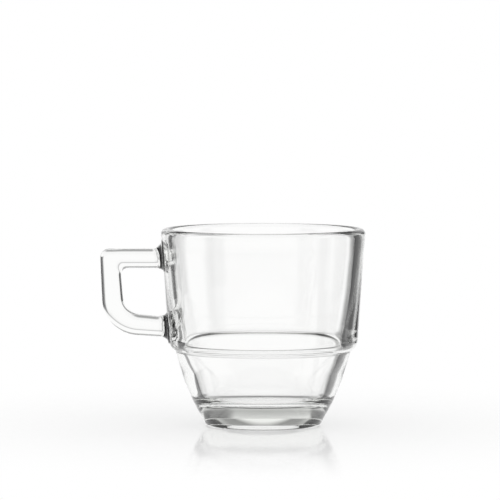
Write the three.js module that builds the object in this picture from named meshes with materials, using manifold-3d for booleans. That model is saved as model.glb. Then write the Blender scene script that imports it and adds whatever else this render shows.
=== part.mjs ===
// A clear pressed-glass stacking mug: a round cup body and a solid D-shaped handle fused to its wall.
// Millimetres, +Z up. The mug stands on z = 0 with its handle towards -X, centred over the origin.

import * as THREE from 'three';
import { mergeVertices } from 'three/addons/utils/BufferGeometryUtils.js';
import Module from 'manifold-3d';

// Outside of the cup
const CUP_HEIGHT = 82;
const RIM_RADIUS = 42.5;
const BEAD_PROUD = 0.6;
const BEAD_HEIGHT = 9;
const BEAD_HOLLOW_RADIUS = 60;
const BEAD_CROWN_BELOW_RIM = 2.8;
const BEAD_CROWN_RADIUS = 8;
const SHOULDER_RADIUS = 39.25;
const SHOULDER_HEIGHT = 33.2;
const SHOULDER_EDGE_RADIUS = 4.8;
const BOWL_TOP_RADIUS = 36.5;
const BOWL_TOP_HEIGHT = 31.3;
const BOWL_TOP_FILLET = 2;
const BELLY_RADIUS = 31.95;
const BELLY_HEIGHT = 13.8;
const BELLY_ROUNDING = 100;
const HEEL_RADIUS = 23.7;
const HEEL_ROUNDING = 1.5;

// Inside of the cup
const LIP_THICKNESS = 4.2;
const WAIST_RADIUS = 36.9;
const WAIST_HEIGHT = 56;
const WAIST_ROUNDING = 250;
const CREASE_RADIUS = 33.2;
const CREASE_HEIGHT = 35;
const CREASE_ROUNDING = 0.3;
const STEP_WIDTH = 0.8;
const STEP_DROP = 1;
const STEP_FILLET = 0.8;
const BOWL_RADIUS = 31.8;
const BOWL_HEIGHT = 27.6;
const BOWL_ROUNDING = 40;
const FLOOR_RADIUS = 24.9;
const FLOOR_HEIGHT = 10.6;
const FLOOR_FILLET = 7;

// Recess under the base, inside the ring that the mug stands on
const RECESS_RADIUS = 18.7;
const RECESS_DEPTH = 3.5;
const RECESS_SLOPE_RUN = 0.9;
const RECESS_FILLET = 0.8;
const RECESS_EDGE_RADIUS = 0.4;

// Side outline of the handle
const HANDLE_REACH = 68;
const HANDLE_TOP_BELOW_RIM = 8.4;
const UPPER_BAR_THICKNESS = 8;
const GRIP_THICKNESS = 8.6;
const GRIP_LEAN = 1.6;
const OPENING_HEIGHT = 20.2;
const LOWER_BAR_THICKNESS = 8.3;
const LOWER_BAR_DROP = 1.4;
const TOP_OUTER_RADIUS = 3.8;
const TOP_INNER_RADIUS = 3;
const BOTTOM_OUTER_RADIUS = 15.5;
const BOTTOM_INNER_RADIUS = 8;

// Section of the handle, and the flare of its two roots on the wall of the cup
const HANDLE_WIDTH = 11;
const SECTION_SQUARENESS = 3;
const FLARE_LENGTH = 4.2;
const FLARE_SIDE = 2;
const UPPER_FLARE_ABOVE = 4.2;
const UPPER_FLARE_BELOW = 1.6;
const LOWER_FLARE_ABOVE = 1.8;
const LOWER_FLARE_BELOW = 3;
const FUSION_GAP = 0.3;

// Fineness of the facets
const CUP_SEGMENTS = 64;
const CUP_ARC_STEPS = 4;
const HANDLE_ARC_STEPS = 7;
const HANDLE_BAR_STEPS = 3;
const SECTION_SIDES = 20;

// The cup's axis stands where the whole mug is centred over the origin.
const CUP_AXIS_X = (HANDLE_REACH - RIM_RADIUS) / 2;

// Heights at which the edges of the handle's two bars leave the wall, from the top down
const UPPER_BAR_TOP = CUP_HEIGHT - HANDLE_TOP_BELOW_RIM;
const OPENING_TOP = UPPER_BAR_TOP - UPPER_BAR_THICKNESS;
const OPENING_BOTTOM = OPENING_TOP - OPENING_HEIGHT;
const LOWER_BAR_BOTTOM = OPENING_BOTTOM - LOWER_BAR_THICKNESS;

// The two edges of the handle seen from the side. A flare rises above or falls below its bar.
const OUTER_EDGE = {
  left: -HANDLE_REACH,
  top: UPPER_BAR_TOP,
  bottom: LOWER_BAR_BOTTOM,
  topRadius: TOP_OUTER_RADIUS,
  bottomRadius: BOTTOM_OUTER_RADIUS,
  upperFlare: UPPER_FLARE_ABOVE,
  lowerFlare: -LOWER_FLARE_BELOW,
};
const INNER_EDGE = {
  left: GRIP_THICKNESS - HANDLE_REACH,
  top: OPENING_TOP,
  bottom: OPENING_BOTTOM,
  topRadius: TOP_INNER_RADIUS,
  bottomRadius: BOTTOM_INNER_RADIUS,
  upperFlare: -UPPER_FLARE_BELOW,
  lowerFlare: LOWER_FLARE_ABOVE,
};

const wasm = await Module();
wasm.setup();

// A corner of an outline, rounded by an arc of the given radius.
function corner(x, y, radius = 0) {
  return { point: new THREE.Vector2(x, y), radius };
}

// Half of the angle between the two sides that meet at a corner.
function halfAngleAt(corners, index) {
  const { point } = corners[index];
  const back = corners[index - 1].point.clone().sub(point);
  const ahead = corners[index + 1].point.clone().sub(point);
  return back.angleTo(ahead) / 2;
}

// How far each corner's arc reaches along its sides. Two arcs share a side that is too short for both.
function arcReaches(corners) {
  const wanted = corners.map(({ radius }, index) => (
    radius > 0 ? radius / Math.tan(halfAngleAt(corners, index)) : 0
  ));
  const shares = corners.slice(1).map(({ point }, index) => {
    const taken = wanted[index] + wanted[index + 1];
    const side = point.distanceTo(corners[index].point);
    return taken > side ? side / taken : 1;
  });
  return wanted.map((reach, index) => reach * Math.min(shares[index - 1] ?? 1, shares[index] ?? 1));
}

// The points of the arc that rounds one corner, from the side before it to the side after it.
function arcPoints(corners, index, reach, steps) {
  const { point } = corners[index];
  if (reach === 0) {
    return [point.clone()];
  }
  const back = corners[index - 1].point.clone().sub(point).normalize();
  const ahead = corners[index + 1].point.clone().sub(point).normalize();
  const halfAngle = halfAngleAt(corners, index);
  const start = point.clone().addScaledVector(back, reach);
  const towardsCentre = back.clone().add(ahead).normalize();
  const centre = point.clone().addScaledVector(towardsCentre, reach / Math.cos(halfAngle));
  const turn = (Math.PI - 2 * halfAngle) * Math.sign(ahead.cross(back));
  return Array.from({ length: steps + 1 }, (_, step) => (
    start.clone().rotateAround(centre, turn * step / steps)
  ));
}

// An open outline with rounded corners, as one list of points for each corner.
function roundedCorners(corners, steps) {
  const reaches = arcReaches(corners);
  return corners.map((_, index) => arcPoints(corners, index, reaches[index], steps));
}

// Turns a profile of radius and height around the upright axis of the cup.
function turned(corners) {
  const points = roundedCorners(corners, CUP_ARC_STEPS).flat();
  return new THREE.LatheGeometry(points, CUP_SEGMENTS).rotateX(Math.PI / 2);
}

// The recess under the base, from its middle out to the ring that the mug stands on.
function recessCorners() {
  const flatRadius = RECESS_RADIUS - RECESS_SLOPE_RUN;
  return [
    corner(0, RECESS_DEPTH),
    corner(flatRadius, RECESS_DEPTH, RECESS_FILLET),
    corner(RECESS_RADIUS, 0, RECESS_EDGE_RADIUS),
  ];
}

// The outside of the cup from the heel up to the lip, grown sideways by a stand-off.
function outsideCorners(standOff) {
  const wallRadius = RIM_RADIUS - BEAD_PROUD;
  return [
    corner(HEEL_RADIUS + standOff, 0, HEEL_ROUNDING),
    corner(BELLY_RADIUS + standOff, BELLY_HEIGHT, BELLY_ROUNDING),
    corner(BOWL_TOP_RADIUS + standOff, BOWL_TOP_HEIGHT, BOWL_TOP_FILLET),
    corner(SHOULDER_RADIUS + standOff, SHOULDER_HEIGHT, SHOULDER_EDGE_RADIUS),
    corner(wallRadius + standOff, CUP_HEIGHT - BEAD_HEIGHT, BEAD_HOLLOW_RADIUS),
    corner(RIM_RADIUS + standOff, CUP_HEIGHT - BEAD_CROWN_BELOW_RIM, BEAD_CROWN_RADIUS),
    corner(RIM_RADIUS + standOff, CUP_HEIGHT, LIP_THICKNESS / 2),
  ];
}

// The inside of the cup from the lip down to the middle of the floor.
function insideCorners() {
  return [
    corner(RIM_RADIUS - LIP_THICKNESS, CUP_HEIGHT, LIP_THICKNESS / 2),
    corner(WAIST_RADIUS, WAIST_HEIGHT, WAIST_ROUNDING),
    corner(CREASE_RADIUS, CREASE_HEIGHT, CREASE_ROUNDING),
    corner(CREASE_RADIUS - STEP_WIDTH, CREASE_HEIGHT - STEP_DROP, STEP_FILLET),
    corner(BOWL_RADIUS, BOWL_HEIGHT, BOWL_ROUNDING),
    corner(FLOOR_RADIUS, FLOOR_HEIGHT, FLOOR_FILLET),
    corner(0, FLOOR_HEIGHT),
  ];
}

function cupGeometry() {
  return turned([...recessCorners(), ...outsideCorners(0), ...insideCorners()]);
}

// The solid that cuts the handle's seat: the outside of the cup, filled, and grown by the fusion gap.
function seatCutterGeometry() {
  return turned([corner(0, 0), ...outsideCorners(FUSION_GAP), corner(0, CUP_HEIGHT)]);
}

// The cup's outer radius at a height between the shoulder and the bead.
function wallRadiusAt(height) {
  const rise = (height - SHOULDER_HEIGHT) / (CUP_HEIGHT - BEAD_HEIGHT - SHOULDER_HEIGHT);
  return THREE.MathUtils.lerp(SHOULDER_RADIUS, RIM_RADIUS - BEAD_PROUD, rise);
}

// The hollow curve of a flare, from the wall out to the bar, as a quarter of an ellipse.
function flarePoints(barHeight, rise) {
  const wallX = -wallRadiusAt(barHeight + rise);
  return Array.from({ length: HANDLE_ARC_STEPS + 1 }, (_, step) => {
    const angle = (Math.PI / 2) * step / HANDLE_ARC_STEPS;
    const x = wallX - FLARE_LENGTH * (1 - Math.cos(angle));
    return new THREE.Vector2(x, barHeight + rise * (1 - Math.sin(angle)));
  });
}

// The two bends of a handle edge, between the ends of its flares.
function bendPoints({ left, top, bottom, topRadius, bottomRadius }, upperEnd, lowerEnd) {
  const bends = roundedCorners([
    corner(upperEnd.x, upperEnd.y),
    corner(left, top, topRadius),
    corner(left + GRIP_LEAN, bottom + LOWER_BAR_DROP, bottomRadius),
    corner(lowerEnd.x, lowerEnd.y),
  ], HANDLE_ARC_STEPS);
  return bends.slice(1, 3);
}

// Points spaced evenly between two ends, without the ends.
function pointsBetween(start, end) {
  return Array.from({ length: HANDLE_BAR_STEPS - 1 }, (_, step) => (
    start.clone().lerp(end, (step + 1) / HANDLE_BAR_STEPS)
  ));
}

// A whole edge of the handle, from the cup's axis through both roots and back to the axis.
function edgePoints(edge) {
  const upperFlare = flarePoints(edge.top, edge.upperFlare);
  const lowerFlare = flarePoints(edge.bottom, edge.lowerFlare).reverse();
  const curves = [upperFlare, ...bendPoints(edge, upperFlare.at(-1), lowerFlare[0]), lowerFlare];
  const joined = curves.flatMap((curve, index) => (
    index === 0 ? curve : [...pointsBetween(curves[index - 1].at(-1), curve[0]), ...curve]
  ));
  const upperEnd = new THREE.Vector2(0, joined[0].y);
  const lowerEnd = new THREE.Vector2(0, joined.at(-1).y);
  return [upperEnd, ...joined, lowerEnd];
}

// Half of the handle's width at a station, which grows on the flares towards the wall.
function halfWidthAt({ x, y }) {
  const run = THREE.MathUtils.clamp((-wallRadiusAt(y) - x) / FLARE_LENGTH, 0, 1);
  const flare = 1 - Math.sqrt(run * (2 - run));
  return HANDLE_WIDTH / 2 + FLARE_SIDE * flare;
}

// A cosine or sine pressed towards a square section.
function squared(value) {
  return Math.sign(value) * Math.abs(value) ** (2 / SECTION_SQUARENESS);
}

// The ring of points round the handle between a point of its outer edge and one of its inner edge.
function sectionRing(outer, inner) {
  const middle = outer.clone().add(inner).multiplyScalar(0.5);
  const halfHeight = outer.clone().sub(middle);
  const halfWidth = halfWidthAt(middle);
  return Array.from({ length: SECTION_SIDES }, (_, side) => {
    const angle = 2 * Math.PI * side / SECTION_SIDES;
    const { x, y } = middle.clone().addScaledVector(halfHeight, squared(Math.cos(angle)));
    return [x, halfWidth * squared(Math.sin(angle)), y];
  });
}

// The two triangles of each side between one ring and the next.
function ringTriangles(first) {
  return Array.from({ length: SECTION_SIDES }, (_, side) => {
    const next = (side + 1) % SECTION_SIDES;
    const [a, b] = [first + side, first + next];
    const [c, d] = [a + SECTION_SIDES, b + SECTION_SIDES];
    return [a, b, d, a, d, c];
  }).flat();
}

// A fan that closes the ring at one end of the handle.
function capTriangles(first, facesBack) {
  return Array.from({ length: SECTION_SIDES - 2 }, (_, side) => {
    const [b, c] = [first + side + 1, first + side + 2];
    return facesBack ? [first, c, b] : [first, b, c];
  }).flat();
}

// The handle before it is cut to the wall: rings from edge to edge, skinned and closed.
function handleBlankGeometry() {
  const innerPoints = edgePoints(INNER_EDGE);
  const rings = edgePoints(OUTER_EDGE).map((outer, index) => sectionRing(outer, innerPoints[index]));
  const lastRing = (rings.length - 1) * SECTION_SIDES;
  const skin = rings.slice(1).flatMap((_, index) => ringTriangles(index * SECTION_SIDES));
  const geometry = new THREE.BufferGeometry();
  geometry.setAttribute('position', new THREE.Float32BufferAttribute(rings.flat(2), 3));
  geometry.setIndex([...capTriangles(0, true), ...skin, ...capTriangles(lastRing, false)]);
  return geometry;
}

// A closed geometry as a solid for cutting, with shared points merged and collapsed triangles left out.
function solidFrom(geometry) {
  const bare = geometry.clone();
  bare.deleteAttribute('normal');
  bare.deleteAttribute('uv');
  const merged = mergeVertices(bare);
  const triangles = [];
  for (let i = 0; i < merged.index.count; i += 3) {
    const [a, b, c] = merged.index.array.slice(i, i + 3);
    if (a !== b && b !== c && c !== a) {
      triangles.push(a, b, c);
    }
  }
  const vertProperties = new Float32Array(merged.attributes.position.array);
  const triVerts = new Uint32Array(triangles);
  return new wasm.Manifold(new wasm.Mesh({ numProp: 3, vertProperties, triVerts }));
}

function geometryFrom(solid) {
  const { vertProperties, triVerts } = solid.getMesh();
  const geometry = new THREE.BufferGeometry();
  geometry.setAttribute('position', new THREE.Float32BufferAttribute(vertProperties, 3));
  geometry.setIndex([...triVerts]);
  geometry.computeVertexNormals();
  return geometry;
}

// The handle with the ends of its roots cut to the curve of the wall.
function handleGeometry() {
  return geometryFrom(solidFrom(handleBlankGeometry()).subtract(solidFrom(seatCutterGeometry())));
}

function clearGlass() {
  return new THREE.MeshStandardMaterial({ color: 0xeef0ec, roughness: 0.04, metalness: 0 });
}

function piece(name, geometry) {
  const mesh = new THREE.Mesh(geometry, clearGlass());
  mesh.name = name;
  return mesh;
}

const mug = new THREE.Group();
mug.position.x = CUP_AXIS_X;
mug.add(piece('cup_body', cupGeometry()));
mug.add(piece('handle', handleGeometry()));

export default mug;
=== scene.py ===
"""Dresses the glass mug: one fused body of clear glass, on a pale floor under soft studio light."""

import logging
import math
from dataclasses import dataclass, field
from enum import Enum
from typing import Any

import bmesh
import bpy
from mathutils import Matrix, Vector


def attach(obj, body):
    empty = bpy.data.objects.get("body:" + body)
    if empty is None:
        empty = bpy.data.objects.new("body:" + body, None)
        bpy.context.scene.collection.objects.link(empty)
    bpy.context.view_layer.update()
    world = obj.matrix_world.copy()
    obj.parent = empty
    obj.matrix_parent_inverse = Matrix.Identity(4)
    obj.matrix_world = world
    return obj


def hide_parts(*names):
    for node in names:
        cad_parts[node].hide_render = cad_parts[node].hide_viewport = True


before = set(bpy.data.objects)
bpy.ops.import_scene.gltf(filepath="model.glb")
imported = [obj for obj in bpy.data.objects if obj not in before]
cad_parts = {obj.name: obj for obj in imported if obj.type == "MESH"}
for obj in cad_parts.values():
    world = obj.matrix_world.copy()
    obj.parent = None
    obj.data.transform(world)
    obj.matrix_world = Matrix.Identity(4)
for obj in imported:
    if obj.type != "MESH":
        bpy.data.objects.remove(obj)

MM = 0.001
FULL_TURN = 360.0
ROOT_BODY = "root"
CUP_NODE = "cup_body"
HANDLE_NODE = "handle"

log = logging.getLogger("glass_mug")

# A node's input or output, the two places between which something changes, and a curve as pairs
# of place and value.
Socket = bpy.types.NodeSocket
Ends = tuple[float, float]
Stops = tuple[tuple[float, float], ...]


class Edge(Enum):
    """The two edges of the handle as seen from the side."""

    OUTER = "outer"
    INNER = "inner"


@dataclass(frozen=True)
class Corner:
    """A corner of an outline, rounded by an arc."""

    across: float
    height: float
    rounding: float = 0.0

    @property
    def point(self) -> Vector:
        """The sharp corner itself."""
        return Vector((self.across, self.height))


@dataclass
class RoundedOutline:
    """An open outline of straight runs and arcs, sampled finely enough for smooth glass.

    The arc step is an angle in radians, and the run step has the units of the corners.
    """

    corners: list[Corner]
    arc_step: float = math.radians(6)
    run_step: float = 1.5

    def half_angle(self, index: int) -> float:
        """Half of the angle between the two sides at a corner.

        Args:
            index: Which corner, not the first or the last.

        Returns:
            The angle in radians.
        """
        here = self.corners[index].point
        back = self.corners[index - 1].point - here
        ahead = self.corners[index + 1].point - here
        return back.angle(ahead) / 2

    def reaches(self) -> list[float]:
        """How far each corner's arc reaches along its sides.

        Returns:
            One length for each corner. Two arcs share a side that is too short for both.
        """
        wanted = [
            corner.rounding / math.tan(self.half_angle(i)) if corner.rounding else 0.0
            for i, corner in enumerate(self.corners)
        ]
        shares = [1.0]
        for i in range(len(wanted) - 1):
            side = (self.corners[i + 1].point - self.corners[i].point).length
            taken = wanted[i] + wanted[i + 1]
            shares.append(side / taken if taken > side else 1.0)
        shares.append(1.0)
        return [reach * min(shares[i], shares[i + 1]) for i, reach in enumerate(wanted)]

    def arc(self, index: int, reach: float, steps: int = 0) -> list[Vector]:
        """The points of the arc that rounds one corner.

        Args:
            index: Which corner.
            reach: How far the arc reaches along each side.
            steps: How many pieces it has, or 0 to follow the arc step.

        Returns:
            The points from the side before the corner to the side after it.
        """
        here = self.corners[index].point
        if reach == 0:
            return [here]
        back = (self.corners[index - 1].point - here).normalized()
        ahead = (self.corners[index + 1].point - here).normalized()
        half = self.half_angle(index)
        turn = math.pi - 2 * half
        count = steps or max(2, math.ceil(turn / self.arc_step))
        radius = reach * math.tan(half)
        to_corner = -(back + ahead).normalized()
        centre = here - to_corner * (reach / math.cos(half))
        side = (ahead - back).normalized()
        points = []
        for step in range(count + 1):
            angle = turn * (step / count - 0.5)
            points.append(centre + radius * (to_corner * math.cos(angle) + side * math.sin(angle)))
        return points

    def run(self, start: Vector, end: Vector) -> list[Vector]:
        """The evenly spaced points that divide a straight run, without its ends."""
        count = math.ceil((end - start).length / self.run_step)
        return [start.lerp(end, i / count) for i in range(1, count)]

    def points(self) -> list[Vector]:
        """The whole outline.

        Returns:
            Its points in order, in the units of its corners.
        """
        reaches = self.reaches()
        found: list[Vector] = []
        for index, reach in enumerate(reaches):
            arc = self.arc(index, reach)
            if found:
                found.extend(self.run(found[-1], arc[0]))
            found.extend(arc)
        return found


def in_radians(ends: Ends) -> Ends:
    """Two angles turned from degrees into radians."""
    return math.radians(ends[0]), math.radians(ends[1])


class NodeBuilder:
    """Fills a tree of nodes, one node at a time."""

    def __init__(self, tree: bpy.types.NodeTree) -> None:
        """Takes the tree to fill: a material's, a world's or a shape's."""
        self.tree = tree

    def node(self, kind: str, links: dict[str | int, Any] | None = None, **options: Any) -> bpy.types.Node:
        """Adds a node, sets its options and fills its inputs.

        Args:
            kind: The node's type.
            links: For each input, by name or place, a socket to link or a value to set.
            options: Properties of the node.

        Returns:
            The new node.
        """
        made = self.tree.nodes.new(kind)
        for key, value in options.items():
            setattr(made, key, value)
        for key, value in (links or {}).items():
            self.fill(made.inputs[key], value)
        return made

    def fill(self, socket: Socket, value: Any) -> None:
        """Links a socket to an input, or sets its value.

        Args:
            socket: The input socket to fill.
            value: A socket to link, or a plain value.
        """
        if isinstance(value, Socket):
            self.tree.links.new(value, socket)
        else:
            socket.default_value = value

    def math(self, operation: str, *values: Any) -> Socket:
        """A calculation on sockets or plain numbers."""
        return self.node("ShaderNodeMath", dict(enumerate(values)), operation=operation).outputs[0]

    def product(self, first: Socket, *others: Any) -> Socket:
        """The product of two or more numbers.

        Args:
            first: The socket of the first one.
            others: Sockets or plain numbers.

        Returns:
            The result's socket.
        """
        result = first
        for other in others:
            result = self.math("MULTIPLY", result, other)
        return result

    def opposite(self, share: Socket) -> Socket:
        """What a share leaves of 1."""
        return self.math("SUBTRACT", 1.0, share)

    def shaded(self, share: Socket, depth: float) -> Socket:
        """The light that a shade of some depth leaves, all of it where its share is 0."""
        return self.math("MULTIPLY_ADD", share, -depth, 1.0)

    def rising(self, value: Socket, ends: Ends) -> Socket:
        """A share that rises smoothly from 0 to 1 between two places."""
        links = {"Value": value, "From Min": ends[0], "From Max": ends[1]}
        return self.node("ShaderNodeMapRange", links, interpolation_type="SMOOTHSTEP").outputs[0]

    def falling(self, value: Socket, ends: Ends) -> Socket:
        """A share that falls smoothly from 1 to 0 between two places."""
        return self.opposite(self.rising(value, ends))

    def between(self, value: Socket, starts: Ends, ends: Ends) -> Socket:
        """A share that rises over one stretch and falls again over a later one."""
        return self.math("SUBTRACT", self.rising(value, starts), self.rising(value, ends))

    def blend(self, share: Socket, first: Any, second: Any) -> Socket:
        """A value between two others, the first where the share is 0 and the second where it is 1."""
        return self.node("ShaderNodeMix", {0: share, 2: first, 3: second}, data_type="FLOAT").outputs[0]

    def mirrored(self, path: bpy.types.Node) -> Socket:
        """Whether a surface mirrored a ray and didn't let it through, from a Light Path node."""
        bounced = self.math("SUBTRACT", path.outputs["Is Glossy Ray"], path.outputs["Is Transmission Ray"])
        return self.math("MAXIMUM", bounced, 0.0)

    def ramp(self, value: Socket, stops: Stops) -> Socket:
        """A curve of greys.

        Args:
            value: Where on the curve.
            stops: Pairs of place and grey, in order.

        Returns:
            The grey's socket.
        """
        node = self.node("ShaderNodeValToRGB", {0: value})
        elements = node.color_ramp.elements
        elements[0].position = stops[0][0]
        elements[1].position = stops[-1][0]
        for place, _ in stops[1:-1]:
            elements.new(place)
        for element, (_, grey) in zip(elements, stops):
            element.color = (grey, grey, grey, 1)
        return node.outputs[0]


class TreeBuilder(NodeBuilder):
    """Makes a Geometry Nodes tree with named inputs."""

    def __init__(self, name: str) -> None:
        """Starts an empty tree.

        Args:
            name: The tree's name.
        """
        super().__init__(bpy.data.node_groups.new(name, "GeometryNodeTree"))
        self.tree.is_modifier = True
        self.identifiers: dict[str, str] = {}
        self.add_input("Geometry", "NodeSocketGeometry")
        self.tree.interface.new_socket("Geometry", in_out="OUTPUT", socket_type="NodeSocketGeometry")
        self.start = self.tree.nodes.new("NodeGroupInput")
        self.end = self.tree.nodes.new("NodeGroupOutput")

    def add_input(self, name: str, kind: str) -> None:
        """Adds a named input of some socket type."""
        socket = self.tree.interface.new_socket(name, in_out="INPUT", socket_type=kind)
        self.identifiers[name] = socket.identifier

    def sampled(self, vector: Socket, index: Socket) -> Socket:
        """A vector read from one point of the tree's input geometry."""
        links = {"Geometry": self.start.outputs["Geometry"], "Value": vector, "Index": index}
        return self.node("GeometryNodeSampleIndex", links, data_type="FLOAT_VECTOR").outputs["Value"]

    def finish(self, geometry: Socket) -> None:
        """Ends the tree with smooth shading, realized instances and the glass.

        Args:
            geometry: The shape to hand on.
        """
        smooth = self.node("GeometryNodeSetShadeSmooth", {"Geometry": geometry, "Shade Smooth": True})
        real = self.node("GeometryNodeRealizeInstances", {"Geometry": smooth.outputs["Geometry"]})
        links = {"Geometry": real.outputs["Geometry"], "Material": self.start.outputs["Glass"]}
        dressed = self.node("GeometryNodeSetMaterial", links)
        self.fill(self.end.inputs["Geometry"], dressed.outputs["Geometry"])


@dataclass
class SkinGrid:
    """The grid that a tree bends into a skin, with a row for each input point and a column for each step."""

    builder: TreeBuilder
    steps: Socket
    mesh: Socket = field(init=False)
    index: Socket = field(init=False)
    angle: Socket = field(init=False)

    def __post_init__(self) -> None:
        """Adds the grid, and the fields that say where on it a point lies."""
        b = self.builder
        size = b.node("GeometryNodeAttributeDomainSize", {"Geometry": b.start.outputs["Geometry"]})
        count = size.outputs["Point Count"]
        columns = b.math("ADD", self.steps, 1.0)
        links = {"Size X": 1.0, "Size Y": 1.0, "Vertices X": count, "Vertices Y": columns}
        self.mesh = b.node("GeometryNodeMeshGrid", links).outputs["Mesh"]
        place = b.node("ShaderNodeSeparateXYZ", {0: b.node("GeometryNodeInputPosition").outputs[0]})
        # The grid is 1 wide and lies round the origin, so half its width makes both shares begin at 0.
        along = b.math("ADD", place.outputs["X"], 0.5)
        around = b.math("ADD", place.outputs["Y"], 0.5)
        last = b.math("SUBTRACT", count, 1.0)
        self.index = b.math("ROUND", b.math("MULTIPLY", along, last))
        self.angle = b.math("MULTIPLY", around, math.tau)

    def bent_to(self, position: Socket, weld: float) -> Socket:
        """Moves the grid's points and welds its seam and poles.

        Args:
            position: Where each point goes.
            weld: Points nearer than this become one, in metres.

        Returns:
            The closed skin.
        """
        b = self.builder
        moved = b.node("GeometryNodeSetPosition", {"Geometry": self.mesh, "Position": position})
        links = {"Geometry": moved.outputs["Geometry"], "Distance": weld}
        return b.node("GeometryNodeMergeByDistance", links).outputs["Geometry"]


def base_object(name: str, points: list[Vector]) -> bpy.types.Object:
    """An object that holds bare points for a tree to work on.

    Args:
        name: The object's name.
        points: Their places in metres.

    Returns:
        The object, linked to the scene.
    """
    mesh = bpy.data.meshes.new(name)
    mesh.from_pydata([tuple(point) for point in points], [], [])
    made = bpy.data.objects.new(name, mesh)
    bpy.context.scene.collection.objects.link(made)
    return made


def evaluated(base: bpy.types.Object, builder: TreeBuilder, values: dict[str, Any]) -> bpy.types.Object:
    """Runs a tree on an object and keeps the result as a plain mesh.

    Args:
        base: The object that the tree works on.
        builder: The finished tree.
        values: The named inputs of the tree.

    Returns:
        The same object with its new mesh and no modifier.
    """
    modifier = base.modifiers.new(builder.tree.name, "NODES")
    modifier.node_group = builder.tree
    for name, value in values.items():
        modifier[builder.identifiers[name]] = value
    graph = bpy.context.evaluated_depsgraph_get()
    shape = bpy.data.meshes.new_from_object(base.evaluated_get(graph))
    base.modifiers.remove(modifier)
    base.data = shape
    return base


def outward(piece: bpy.types.Object) -> None:
    """Turns all faces of a closed piece outwards.

    Args:
        piece: The object to correct.
    """
    shape = bmesh.new()
    shape.from_mesh(piece.data)
    bmesh.ops.recalc_face_normals(shape, faces=shape.faces)
    shape.to_mesh(piece.data)
    shape.free()


@dataclass(frozen=True)
class ClearGlass:
    """Clear pressed glass, fire-polished, with faint waves from the mould and a trace of olive in depth.

    Bend is the index of refraction, depth is the tint's density, and the wave height is in metres.
    """

    name: str
    bend: float = 1.51
    tint: tuple[float, float, float] = (0.62, 0.66, 0.56)
    depth: float = 6.0
    wave_scale: float = 70.0
    wave_detail: float = 1.0
    wave_height: float = 0.00001
    polish: float = 0.0

    def material(self) -> bpy.types.Material:
        """Makes the finish.

        Returns:
            The material.
        """
        made = bpy.data.materials.new(self.name)
        made.use_nodes = True
        b = NodeBuilder(made.node_tree)
        surface = made.node_tree.nodes["Principled BSDF"]
        surface.inputs["Base Color"].default_value = (1, 1, 1, 1)
        surface.inputs["Roughness"].default_value = self.polish
        surface.inputs["IOR"].default_value = self.bend
        surface.inputs["Transmission Weight"].default_value = 1.0
        place = b.node("ShaderNodeTexCoord").outputs["Object"]
        pattern = {"Vector": place, "Scale": self.wave_scale, "Detail": self.wave_detail}
        waves = b.node("ShaderNodeTexNoise", pattern).outputs["Fac"]
        bump = b.node("ShaderNodeBump", {"Height": waves, "Distance": self.wave_height})
        b.fill(surface.inputs["Normal"], bump.outputs["Normal"])
        depth = b.node("ShaderNodeVolumeAbsorption", {"Color": (*self.tint, 1), "Density": self.depth})
        b.fill(made.node_tree.nodes["Material Output"].inputs["Volume"], depth.outputs["Volume"])
        return made


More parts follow.
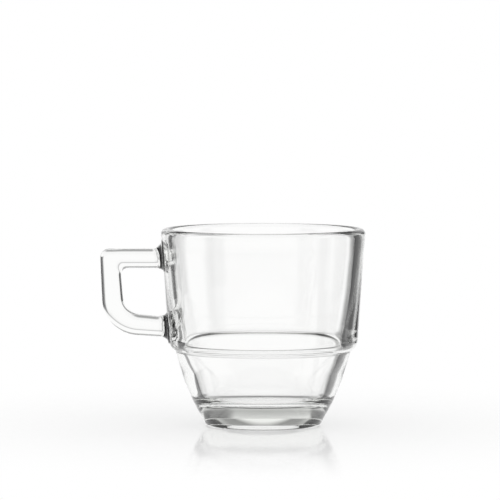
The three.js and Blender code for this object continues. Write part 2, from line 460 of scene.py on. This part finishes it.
@dataclass
class CupBody:
    """The round cup: lip, wall, shoulder, bowl, base and the recess under it. Sizes in millimetres."""

    axis_x: float = 12.75
    height: float = 82.0
    rim_radius: float = 42.5
    bead_proud: float = 0.6
    bead_height: float = 9.0
    bead_hollow: float = 60.0
    bead_crown: Corner = Corner(42.5, 79.2, 8.0)
    shoulder: Corner = Corner(39.25, 33.2, 4.8)
    bowl_top: Corner = Corner(36.5, 31.3, 2.0)
    belly: Corner = Corner(31.95, 13.8, 100.0)
    heel: Corner = Corner(23.7, 0.0, 1.5)
    lip_thickness: float = 4.2
    waist: Corner = Corner(36.9, 56.0, 250.0)
    crease: Corner = Corner(33.2, 34.5, 0.3)
    step: Corner = Corner(32.4, 33.5, 0.8)
    bowl: Corner = Corner(31.1, 27.6, 40.0)
    floor: Corner = Corner(24.3, 10.3, 6.5)
    recess_radius: float = 18.7
    recess_depth: float = 3.5
    recess_slope_run: float = 0.9
    recess_fillet: float = 0.8
    recess_edge: float = 0.4
    segments: int = 192
    weld: float = 0.002

    def profile(self) -> RoundedOutline:
        """The half section of the cup, from under its middle round the outside and in to the floor.

        Returns:
            The outline of radius and height.
        """
        lip_radius = self.lip_thickness / 2
        flat = self.recess_radius - self.recess_slope_run
        return RoundedOutline([
            Corner(0.0, self.recess_depth),
            Corner(flat, self.recess_depth, self.recess_fillet),
            Corner(self.recess_radius, 0.0, self.recess_edge),
            self.heel,
            self.belly,
            self.bowl_top,
            self.shoulder,
            Corner(self.rim_radius - self.bead_proud, self.height - self.bead_height, self.bead_hollow),
            self.bead_crown,
            Corner(self.rim_radius, self.height, lip_radius),
            Corner(self.rim_radius - self.lip_thickness, self.height, lip_radius),
            self.waist,
            self.crease,
            self.step,
            self.bowl,
            self.floor,
            Corner(0.0, self.floor.height),
        ])

    def wall_radius_at(self, height: float) -> float:
        """The outer radius of the wall between the shoulder and the bead.

        Args:
            height: Where, in millimetres above the base.

        Returns:
            The radius in millimetres.
        """
        top = self.height - self.bead_height
        rise = (height - self.shoulder.height) / (top - self.shoulder.height)
        reach = self.rim_radius - self.bead_proud - self.shoulder.across
        return self.shoulder.across + reach * rise

    def tree(self) -> TreeBuilder:
        """The rule that turns a profile about the cup's axis.

        Returns:
            The tree, with its steps round, axis and glass as inputs.
        """
        b = TreeBuilder("turned_cup")
        b.add_input("Steps Round", "NodeSocketInt")
        b.add_input("Axis X", "NodeSocketFloat")
        b.add_input("Glass", "NodeSocketMaterial")
        skin = SkinGrid(b, b.start.outputs["Steps Round"])
        place = b.sampled(b.node("GeometryNodeInputPosition").outputs[0], skin.index)
        half = b.node("ShaderNodeSeparateXYZ", {0: place})
        radius = half.outputs["X"]
        across = b.math("MULTIPLY", radius, b.math("COSINE", skin.angle))
        links = {
            "X": b.math("ADD", across, b.start.outputs["Axis X"]),
            "Y": b.math("MULTIPLY", radius, b.math("SINE", skin.angle)),
            "Z": half.outputs["Z"],
        }
        position = b.node("ShaderNodeCombineXYZ", links).outputs[0]
        b.finish(skin.bent_to(position, self.weld * MM))
        return b

    def build(self, glass: bpy.types.Material) -> bpy.types.Object:
        """Makes the closed body of the cup.

        Args:
            glass: Its finish.

        Returns:
            The object.
        """
        points = [Vector((p.x, 0.0, p.y)) * MM for p in self.profile().points()]
        base = base_object("cup_glass", points)
        values = {"Steps Round": self.segments, "Axis X": self.axis_x * MM, "Glass": glass}
        made = evaluated(base, self.tree(), values)
        outward(made)
        return made


@dataclass
class MugHandle:
    """The solid D-shaped handle with its flared roots. Sizes in millimetres, places from the cup's axis."""

    cup: CupBody
    reach: float = 68.0
    top_below_rim: float = 8.4
    upper_bar: float = 8.0
    grip: float = 8.6
    grip_lean: float = 1.6
    opening: float = 20.2
    lower_bar: float = 8.3
    lower_drop: float = 1.4
    top_radii: dict[Edge, float] = field(default_factory=lambda: {Edge.OUTER: 3.8, Edge.INNER: 3.0})
    bottom_radii: dict[Edge, float] = field(default_factory=lambda: {Edge.OUTER: 15.5, Edge.INNER: 8.0})
    width: float = 11.0
    squareness: float = 3.0
    flare_length: float = 4.2
    flare_side: float = 2.0
    upper_rise: dict[Edge, float] = field(default_factory=lambda: {Edge.OUTER: 4.2, Edge.INNER: -1.6})
    lower_rise: dict[Edge, float] = field(default_factory=lambda: {Edge.OUTER: -3.0, Edge.INNER: 1.8})
    root_depth: float = 2.0
    arc_steps: int = 16
    bar_steps: int = 12
    sides: int = 48
    weld: float = 0.002

    def bar_heights(self, edge: Edge) -> tuple[float, float]:
        """Where an edge's upper and lower bars leave the wall.

        Args:
            edge: Which edge of the handle.

        Returns:
            The two heights.
        """
        top = self.cup.height - self.top_below_rim
        opening_top = top - self.upper_bar
        opening_bottom = opening_top - self.opening
        if edge is Edge.OUTER:
            return top, opening_bottom - self.lower_bar
        return opening_top, opening_bottom

    def flare(self, bar: float, rise: float) -> list[Vector]:
        """The hollow curve from the wall out to a bar.

        Args:
            bar: The height of the bar's edge.
            rise: How far the flare climbs from it, or falls if negative.

        Returns:
            The points of a quarter ellipse, the wall first.
        """
        wall = -self.cup.wall_radius_at(bar + rise)
        points = []
        for step in range(self.arc_steps + 1):
            angle = math.pi / 2 * step / self.arc_steps
            across = wall - self.flare_length * (1 - math.cos(angle))
            points.append(Vector((across, bar + rise * (1 - math.sin(angle)))))
        return points

    def edge_points(self, edge: Edge) -> list[Vector]:
        """A whole edge of the handle, from inside the wall at one root to inside it at the other.

        Args:
            edge: Which edge.

        Returns:
            Its points, in order from the upper root.
        """
        top, bottom = self.bar_heights(edge)
        upper = self.flare(top, self.upper_rise[edge])
        lower = self.flare(bottom, self.lower_rise[edge])[::-1]
        left = -self.reach + (0.0 if edge is Edge.OUTER else self.grip)
        outline = RoundedOutline([
            Corner(upper[-1].x, top),
            Corner(left, top, self.top_radii[edge]),
            Corner(left + self.grip_lean, bottom + self.lower_drop, self.bottom_radii[edge]),
            Corner(lower[0].x, bottom),
        ])
        reaches = outline.reaches()
        bends = [outline.arc(i, reaches[i], self.arc_steps) for i in range(1, len(reaches) - 1)]
        inside = Vector((self.root_depth, 0.0))
        points = [upper[0] + inside, *upper]
        for curve in (*bends, lower):
            start = points[-1]
            points.extend(start.lerp(curve[0], i / self.bar_steps) for i in range(1, self.bar_steps))
            points.extend(curve)
        points.append(lower[-1] + inside)
        return points

    def half_width(self, middle: Vector) -> float:
        """Half of the handle's width at a station, which grows on the flares.

        Args:
            middle: The middle of the station.

        Returns:
            The half width.
        """
        wall = -self.cup.wall_radius_at(middle.y)
        run = min(max((wall - middle.x) / self.flare_length, 0.0), 1.0)
        return self.width / 2 + self.flare_side * (1 - math.sqrt(run * (2 - run)))

    def tree(self) -> TreeBuilder:
        """The rule that skins the stations with rounded square sections.

        Returns:
            The tree, with its sides, squareness and glass as inputs.
        """
        b = TreeBuilder("skinned_handle")
        b.add_input("Sides", "NodeSocketInt")
        b.add_input("Squareness", "NodeSocketFloat")
        b.add_input("Glass", "NodeSocketMaterial")
        skin = SkinGrid(b, b.start.outputs["Sides"])
        power = b.math("DIVIDE", 2.0, b.start.outputs["Squareness"])
        along = self.squared(b, b.math("COSINE", skin.angle), power)
        aside = self.squared(b, b.math("SINE", skin.angle), power)
        middle = b.sampled(b.node("GeometryNodeInputPosition").outputs[0], skin.index)
        half = self.attribute(b, "half_section", skin.index)
        parts = b.node("ShaderNodeSeparateXYZ", {0: half})
        links = {
            "X": b.math("MULTIPLY", parts.outputs["X"], along),
            "Y": b.math("MULTIPLY", parts.outputs["Y"], aside),
            "Z": b.math("MULTIPLY", parts.outputs["Z"], along),
        }
        offset = b.node("ShaderNodeCombineXYZ", links).outputs[0]
        position = b.node("ShaderNodeVectorMath", {0: middle, 1: offset}, operation="ADD").outputs[0]
        b.finish(skin.bent_to(position, self.weld * MM))
        return b

    @staticmethod
    def squared(b: TreeBuilder, value: Socket, power: Socket) -> Socket:
        """A cosine or sine, its size raised to a power that presses a circle towards a square."""
        size = b.math("POWER", b.math("ABSOLUTE", value), power)
        return b.math("MULTIPLY", size, b.math("SIGN", value))

    @staticmethod
    def attribute(b: TreeBuilder, name: str, index: Socket) -> Socket:
        """A named vector of one station."""
        named = b.node("GeometryNodeInputNamedAttribute", {"Name": name}, data_type="FLOAT_VECTOR")
        return b.sampled(named.outputs["Attribute"], index)

    def build(self, glass: bpy.types.Material) -> bpy.types.Object:
        """Makes the closed body of the handle, with its roots inside the wall of the cup.

        Args:
            glass: Its finish.

        Returns:
            The object.
        """
        outer = self.edge_points(Edge.OUTER)
        inner = self.edge_points(Edge.INNER)
        middles = [(a + b) / 2 for a, b in zip(outer, inner)]
        halves = [(a - b) / 2 for a, b in zip(outer, inner)]
        widths = [self.half_width(middle) for middle in middles]
        # A section without any width closes the skin at each end.
        middles = [middles[0], *middles, middles[-1]]
        sections = [Vector((h.x, w, h.y)) for h, w in zip(halves, widths)]
        sections = [Vector(), *sections, Vector()]
        points = [Vector((p.x + self.cup.axis_x, 0.0, p.y)) * MM for p in middles]
        base = base_object("handle_glass", points)
        store = base.data.attributes.new("half_section", "FLOAT_VECTOR", "POINT")
        store.data.foreach_set("vector", [value * MM for section in sections for value in section])
        values = {"Sides": self.sides, "Squareness": self.squareness, "Glass": glass}
        made = evaluated(base, self.tree(), values)
        outward(made)
        return made


@dataclass
class GlassMug:
    """The whole mug: the handle fused hot to the cup, as one body of glass without a seam inside."""

    cup: CupBody
    handle: MugHandle
    glass: ClearGlass

    def tree(self) -> TreeBuilder:
        """The rule that fuses the handle to the cup.

        Returns:
            The tree, with the handle and the glass as inputs.
        """
        b = TreeBuilder("fused_mug")
        b.add_input("Handle", "NodeSocketObject")
        b.add_input("Glass", "NodeSocketMaterial")
        handle = b.node("GeometryNodeObjectInfo", {"Object": b.start.outputs["Handle"]})
        join = b.node("GeometryNodeMeshBoolean", operation="UNION", solver="MANIFOLD")
        b.fill(join.inputs["Mesh 2"], b.start.outputs["Geometry"])
        b.fill(join.inputs["Mesh 2"], handle.outputs["Geometry"])
        b.finish(join.outputs["Mesh"])
        return b

    def build(self) -> bpy.types.Object:
        """Makes the fused mug.

        Returns:
            The object that stands for both pieces of the frame.
        """
        glass = self.glass.material()
        cup = self.cup.build(glass)
        handle = self.handle.build(glass)
        mug = evaluated(cup, self.tree(), {"Handle": handle, "Glass": glass})
        bpy.data.objects.remove(handle)
        mug.name = "glass_mug"
        return mug


@dataclass(frozen=True)
class StudioLight:
    """White light from all round, with dark gaps near the horizon that give clear glass its dark edges.

    Angles are in degrees. The gaps fade out between gap_tops above the horizon, and between gap_depths
    below it. A ray that a surface mirrors sees no dimming by lift below mirror_tops.
    """

    # Pairs of heading and light. 0 degrees is along Y, behind the mug, and 90 degrees is along X.
    heading_stops: Stops = (
        (-180.0, 1.0),
        (-136.0, 1.0),
        (-131.0, 0.1),
        (-113.0, 0.1),
        (-108.0, 1.0),
        (-74.0, 1.0),
        (-69.0, 0.1),
        (-36.0, 0.1),
        (-32.0, 1.0),
        (17.0, 1.0),
        (20.5, 0.5),
        (24.0, 0.22),
        (28.0, 0.17),
        (40.0, 0.14),
        (45.0, 0.05),
        (54.0, 0.05),
        (59.0, 1.0),
        (94.0, 1.0),
        (98.0, 0.1),
        (110.0, 0.1),
        (115.0, 1.0),
        (180.0, 1.0),
    )
    # Pairs of lift and light. 0 is the horizon and 1 is overhead.
    lift_stops: Stops = (
        (0.0, 1.0),
        (0.045, 0.9),
        (0.06, 0.65),
        (0.074, 0.5),
        (0.083, 0.62),
        (0.095, 1.0),
        (0.3, 1.0),
        (0.325, 0.28),
        (0.37, 0.35),
        (0.43, 0.6),
        (0.48, 0.08),
        (0.62, 0.08),
        (0.75, 0.5),
        (1.0, 0.8),
    )
    gap_tops: Ends = (3.0, 12.5)
    gap_depths: Ends = (15.0, 18.0)
    mirror_tops: Ends = (12.0, 20.0)

    def around(self, b: NodeBuilder, x: Socket, y: Socket) -> Socket:
        """The light for a level heading, given by its parts along X and Y."""
        turn = b.math("MULTIPLY_ADD", b.math("ARCTAN2", x, y), 1 / math.tau, 0.5)
        return b.ramp(turn, tuple((angle / FULL_TURN + 0.5, light) for angle, light in self.heading_stops))

    def world(self) -> bpy.types.World:
        """Makes the light: plain white to the eye and on matt surfaces, with its gaps in the glass.

        Returns:
            The world.
        """
        made = bpy.data.worlds.new("studio")
        made.use_nodes = True
        b = NodeBuilder(made.node_tree)
        direction = b.node("ShaderNodeSeparateXYZ", {0: b.node("ShaderNodeTexCoord").outputs["Generated"]})
        gaps = self.around(b, direction.outputs["X"], direction.outputs["Y"])
        slope = b.math("ARCSINE", direction.outputs["Z"])
        height = b.math("MAXIMUM", slope, 0.0)
        lift = b.ramp(b.math("DIVIDE", height, math.pi / 2), self.lift_stops)
        above = b.rising(slope, in_radians(self.gap_tops))
        below = b.rising(b.math("MULTIPLY", slope, -1.0), in_radians(self.gap_depths))
        spread = b.product(b.blend(b.math("MAXIMUM", above, below), gaps, 1.0), lift)
        path = b.node("ShaderNodeLightPath")
        mirrored = b.product(b.mirrored(path), b.falling(height, in_radians(self.mirror_tops)), gaps)
        even = b.math("MAXIMUM", path.outputs["Is Camera Ray"], path.outputs["Is Diffuse Ray"])
        shown = b.math("MAXIMUM", spread, b.math("MAXIMUM", even, mirrored))
        b.fill(made.node_tree.nodes["Background"].inputs["Color"], shown)
        return made


@dataclass
class FloorSpot:
    """The place where a ray meets the floor, and how steeply, as sockets of the floor's tree."""

    builder: NodeBuilder
    x: Socket = field(init=False)
    y: Socket = field(init=False)
    distance: Socket = field(init=False)
    steepness: Socket = field(init=False)

    def __post_init__(self) -> None:
        """Adds the nodes that tell these. Steepness is 0 along the floor and 1 straight down."""
        b = self.builder
        place = b.node("ShaderNodeTexCoord").outputs["Object"]
        parts = b.node("ShaderNodeSeparateXYZ", {0: place})
        self.x = parts.outputs["X"]
        self.y = parts.outputs["Y"]
        self.distance = b.node("ShaderNodeVectorMath", {0: place}, operation="LENGTH").outputs["Value"]
        self.steepness = b.opposite(b.node("ShaderNodeLayerWeight").outputs["Facing"])


@dataclass
class PaleFloor:
    """A pale polished floor, plain white by itself, that keeps the mug's shadow and reflection.

    Seen through the glass it glows with painted light and painted shade instead: painted light under the
    foot, a painted shadow ring where it stands, painted shade beside it, the light's gaps painted on, and
    painted dimming by steepness. Lengths are in metres from the cup's axis and angles in degrees. A pair
    says where a change begins and where it is complete.
    """

    light: StudioLight
    centre_x: float
    radius: float = 0.24
    steps: int = 96
    colour: float = 0.97
    polish: float = 0.08
    white: float = 1.0
    shading_kept: float = 0.65
    shading_fades: Ends = (0.06, 0.2)
    # Painted light under the foot, with a painted shadow ring on which it stands.
    under_light: float = 0.85
    under_ends: Ends = (0.024, 0.032)
    ring_starts: Ends = (0.019, 0.0205)
    ring_ends: Ends = (0.026, 0.029)
    ring_slopes: Ends = (0.35, 0.85)
    ring_shadow: float = 0.95
    # Painted shade on both sides of the foot.
    flank_starts: Ends = (0.029, 0.033)
    flank_behind: Ends = (0.024, 0.034)
    flank_ends: Ends = (0.046, 0.056)
    flank_shadow: float = 0.85
    # The light's gaps painted on the floor, and a strip of painted shade on the handle's side.
    gaps_start: Ends = (0.04, 0.05)
    gaps_x: float = 0.033
    gaps_y: float = -0.015
    left_gaps_close: Ends = (0.058, 0.07)
    strip_starts: Ends = (34.0, 37.0)
    strip_ends: Ends = (43.0, 46.0)
    strip_depth: float = 0.72
    # Pairs of steepness and light for the painted dimming by steepness, near the foot and in a lane behind
    # the handle.
    slope_stops: Stops = (
        (0.0, 1.0),
        (0.42, 1.0),
        (0.47, 0.9),
        (0.5, 0.7),
        (0.56, 0.35),
        (0.62, 0.2),
        (0.76, 0.2),
        (0.86, 0.8),
        (1.0, 0.9),
    )
    dim_ends: Ends = (0.042, 0.052)
    lane_left: Ends = (-0.09, -0.062)
    lane_right: Ends = (-0.046, -0.022)
    lane_start: Ends = (0.0, 0.02)
    lane_share: float = 0.8

    def build(self) -> bpy.types.Object:
        """Makes the floor, with its middle under the cup's axis.

        Returns:
            The object.
        """
        mesh = bpy.data.meshes.new("floor")
        shape = bmesh.new()
        bmesh.ops.create_circle(shape, cap_ends=True, segments=self.steps, radius=self.radius)
        shape.to_mesh(mesh)
        shape.free()
        mesh.materials.append(self.material())
        made = bpy.data.objects.new("floor", mesh)
        made.location.x = self.centre_x
        bpy.context.scene.collection.objects.link(made)
        return made

    def material(self) -> bpy.types.Material:
        """The floor's material, which the camera and the glass each see in their own way.

        Through the glass it glows with painted light and painted shade; to the camera it is white, with its
        own shading near the mug.

        Returns:
            The material.
        """
        made = bpy.data.materials.new("pale_floor")
        made.use_nodes = True
        b = NodeBuilder(made.node_tree)
        surface = made.node_tree.nodes["Principled BSDF"]
        surface.inputs["Base Color"].default_value = (self.colour,) * 3 + (1,)
        surface.inputs["Roughness"].default_value = self.polish
        spot = FloorSpot(b)
        path = b.node("ShaderNodeLightPath")
        seen = path.outputs["Is Camera Ray"]
        through = b.math("MAXIMUM", path.outputs["Is Transmission Ray"], path.outputs["Is Glossy Ray"])
        plain = b.math("MAXIMUM", seen, b.mirrored(path))
        # Through the glass the glow is painted light and painted shade; to the camera and in mirrors it is
        # plain white.
        strength = b.blend(plain, self.painted_light_through_glass(spot), self.white)
        white = b.node("ShaderNodeEmission", {"Strength": strength})
        kept = b.product(b.falling(spot.distance, self.shading_fades), self.shading_kept)
        share = b.math("MAXIMUM", b.product(seen, b.opposite(kept)), through)
        mix = b.node("ShaderNodeMixShader", {0: share, 1: surface.outputs[0], 2: white.outputs[0]})
        b.fill(made.node_tree.nodes["Material Output"].inputs["Surface"], mix.outputs[0])
        return made

    def painted_light_through_glass(self, spot: FloorSpot) -> Socket:
        """The floor's painted light and painted shade, as they are seen through the glass.

        Args:
            spot: The place on the floor.

        Returns:
            The light's socket.
        """
        b = spot.builder
        outside = b.product(self.gaps(spot), self.dimming(spot), self.painted_flank_shade(spot))
        return b.blend(b.rising(spot.distance, self.under_ends), self.painted_light_under_foot(spot), outside)

    def painted_light_under_foot(self, spot: FloorSpot) -> Socket:
        """Painted light under the foot, with a painted shadow ring that is dark to rays along the floor.

        Args:
            spot: The place on the floor.

        Returns:
            The light's socket.
        """
        b = spot.builder
        ring = b.between(spot.distance, self.ring_starts, self.ring_ends)
        level = b.falling(spot.steepness, self.ring_slopes)
        return b.product(b.shaded(b.product(ring, level), self.ring_shadow), self.under_light)

    def painted_flank_shade(self, spot: FloorSpot) -> Socket:
        """The share of light that the painted shade on both sides of the foot leaves.

        Args:
            spot: The place on the floor.

        Returns:
            The share's socket.
        """
        b = spot.builder
        aside = b.rising(b.math("ABSOLUTE", spot.x), self.flank_starts)
        ahead = b.falling(spot.y, self.flank_behind)
        close = b.falling(spot.distance, self.flank_ends)
        return b.shaded(b.product(aside, ahead, close), self.flank_shadow)

    def gaps(self, spot: FloorSpot) -> Socket:
        """The share of light that the painted gaps and a strip of painted shade leave. The gaps fan out from
        both sides of the foot.

        Args:
            spot: The place on the floor.

        Returns:
            The share's socket.
        """
        b = spot.builder
        right = b.math("MAXIMUM", b.math("SUBTRACT", spot.x, self.gaps_x), 0.0)
        left = b.math("MAXIMUM", b.math("SUBTRACT", -self.gaps_x, spot.x), 0.0)
        across = b.math("MULTIPLY_ADD", left, b.falling(spot.distance, self.left_gaps_close), right)
        along = b.math("SUBTRACT", spot.y, self.gaps_y)
        heading = b.math("ARCTAN2", left, along)
        # A strip of painted shade on the handle's side.
        strip = b.between(heading, in_radians(self.strip_starts), in_radians(self.strip_ends))
        fan = b.product(self.light.around(b, across, along), b.shaded(strip, self.strip_depth))
        return b.blend(b.rising(spot.distance, self.gaps_start), 1.0, fan)

    def dimming(self, spot: FloorSpot) -> Socket:
        """The share of light that painted dimming by steepness leaves, near the foot and in the lane.

        Args:
            spot: The place on the floor.

        Returns:
            The share's socket.
        """
        b = spot.builder
        across = b.between(spot.x, self.lane_left, self.lane_right)
        lane = b.product(across, b.rising(spot.y, self.lane_start))
        free = b.product(b.rising(spot.distance, self.dim_ends), b.shaded(lane, self.lane_share))
        return b.blend(free, b.ramp(spot.steepness, self.slope_stops), 1.0)


@dataclass
class PhotoCamera:
    """The camera at the photograph's viewing angle. Lengths in metres, the sensor in millimetres."""

    distance: float = 1.6
    height: float = 0.1716
    aim: tuple[float, float, float] = (0.00727, 0.0, 0.073)
    frame_width: float = 0.208
    sensor: float = 36.0
    far_limit: float = 100.0

    def build(self) -> bpy.types.Object:
        """Makes the camera and sets it as the scene's own.

        Returns:
            The camera object.
        """
        data = bpy.data.cameras.new("photo_camera")
        data.sensor_width = self.sensor
        made = bpy.data.objects.new("photo_camera", data)
        bpy.context.scene.collection.objects.link(made)
        made.location = (self.aim[0], -self.distance, self.height)
        towards = Vector(self.aim) - made.location
        made.rotation_euler = towards.to_track_quat("-Z", "Y").to_euler()
        data.lens = self.sensor * towards.length / self.frame_width
        data.clip_end = self.far_limit
        bpy.context.scene.camera = made
        return made


def main() -> None:
    """Builds the mug, its stage, its light and the camera, and ties the mug to the frame."""
    logging.basicConfig(level=logging.INFO)
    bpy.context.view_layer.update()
    PhotoCamera().build()
    cup = CupBody()
    mug = GlassMug(cup, MugHandle(cup), ClearGlass("clear_glass")).build()
    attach(mug, ROOT_BODY)
    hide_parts(CUP_NODE, HANDLE_NODE)
    log.info("%s: %d faces", mug.name, len(mug.data.polygons))
    light = StudioLight()
    PaleFloor(light, cup.axis_x * MM).build()
    scene = bpy.context.scene
    scene.world = light.world()
    scene.view_settings.view_transform = "Standard"


if __name__ == "__main__":
    main()
